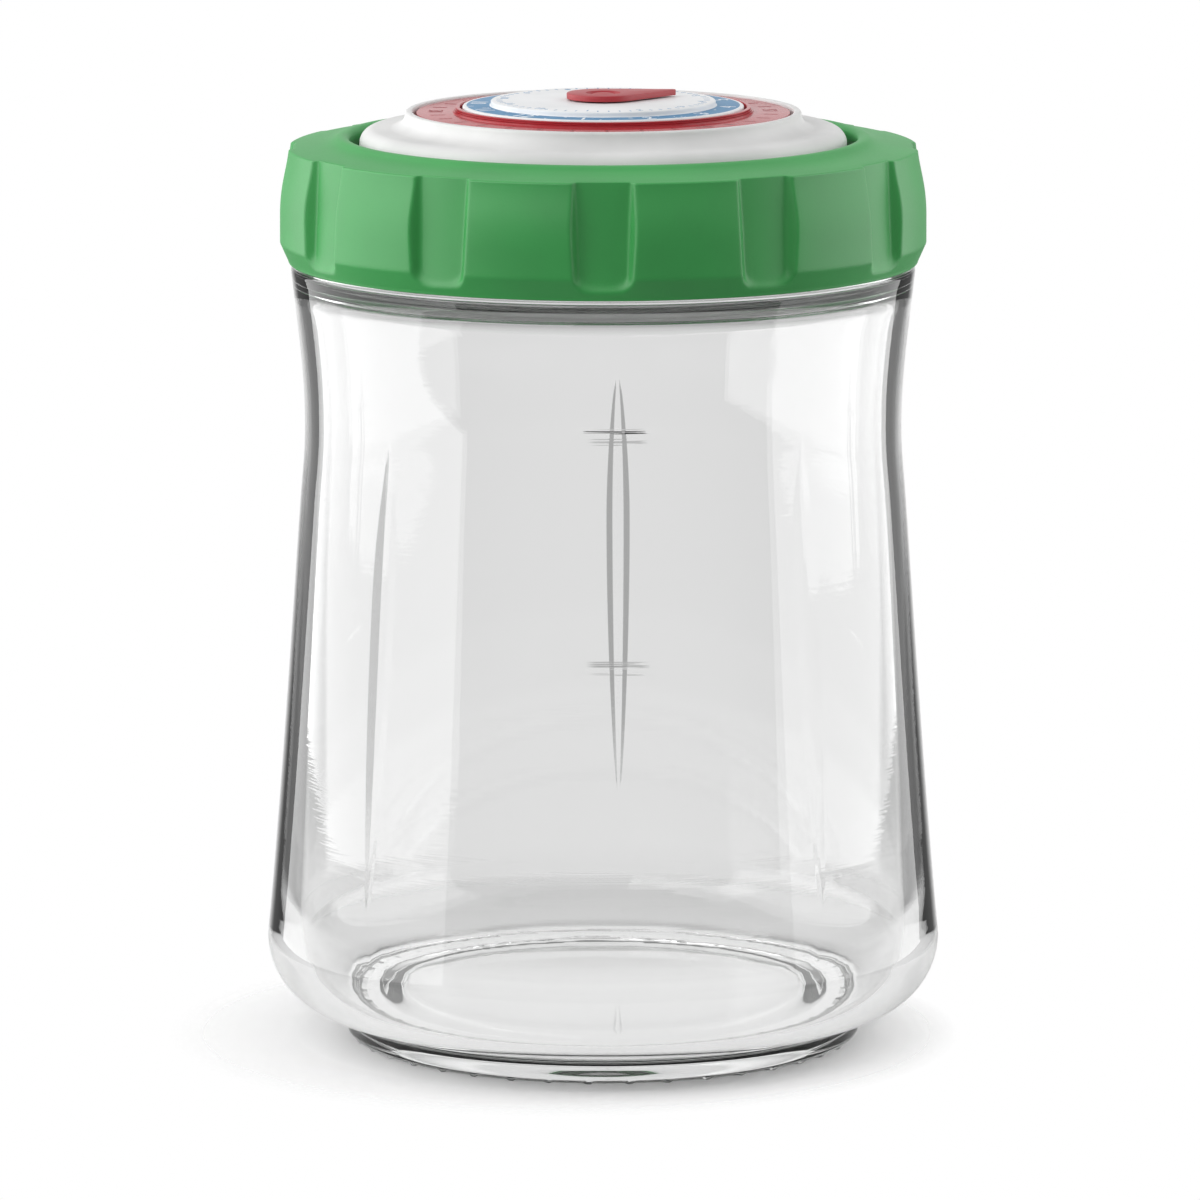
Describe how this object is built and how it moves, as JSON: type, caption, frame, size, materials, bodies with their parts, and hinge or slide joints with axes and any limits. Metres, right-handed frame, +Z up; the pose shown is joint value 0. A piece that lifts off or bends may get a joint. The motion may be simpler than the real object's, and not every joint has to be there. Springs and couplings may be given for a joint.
{
  "type": "storage jar",
  "caption": "Wide-mouth glass storage jar with a fluted screw ring, a sealed inner cover and a turning date dial on top.",
  "frame": {"origin": "centre of the bearing ring, on the plane that the jar stands on", "axes": "+Z up along the jar's axis, -Y towards the front as pictured"},
  "size_m": [0.1266, 0.1266, 0.1783],
  "materials": {
    "clear_glass": "clear polished pressed glass",
    "green_plastic": "satin moulded plastic",
    "white_plastic": "matt moulded plastic",
    "seal_silicone": "soft translucent silicone",
    "red_plastic": "satin moulded plastic with printed numbers",
    "disc_plastic": "satin white plastic with a printed blue band",
    "pointer_plastic": "smooth moulded plastic"
  },
  "bodies": {
    "jar": {"glass_jar": "clear_glass"},
    "lid": {"cover": "white_plastic", "cover_seal": "seal_silicone", "pointer_pin": "pointer_plastic"},
    "ring": {"screw_ring": "green_plastic"},
    "day_dial": {"day_ring": "red_plastic"},
    "month_dial": {"month_disc": "disc_plastic"},
    "pointer_arm": {"pointer": "pointer_plastic"}
  },
  "joints": [
    {"name": "lid_rise", "type": "slide", "parent": "jar", "child": "lid", "axis": [0, 0, 1], "range_m": [0, 0.01]},
    {"name": "ring_turn", "type": "hinge", "parent": "lid", "child": "ring", "pos_m": [0, 0, 0.158], "axis": [0, 0, 1], "range_deg": [0, 720]},
    {"name": "day_turn", "type": "hinge", "parent": "lid", "child": "day_dial", "pos_m": [0, 0, 0.1737], "axis": [0, 0, 1], "continuous": true},
    {"name": "month_turn", "type": "hinge", "parent": "lid", "child": "month_dial", "pos_m": [0, 0, 0.1755], "axis": [0, 0, 1], "continuous": true},
    {"name": "pointer_turn", "type": "hinge", "parent": "lid", "child": "pointer_arm", "pos_m": [0, 0, 0.1778], "axis": [0, 0, 1], "continuous": true}
  ],
  "couplings": [
    {"joint": "lid_rise", "follows": "ring_turn", "m_per_rad": 0.00079577}
  ]
}
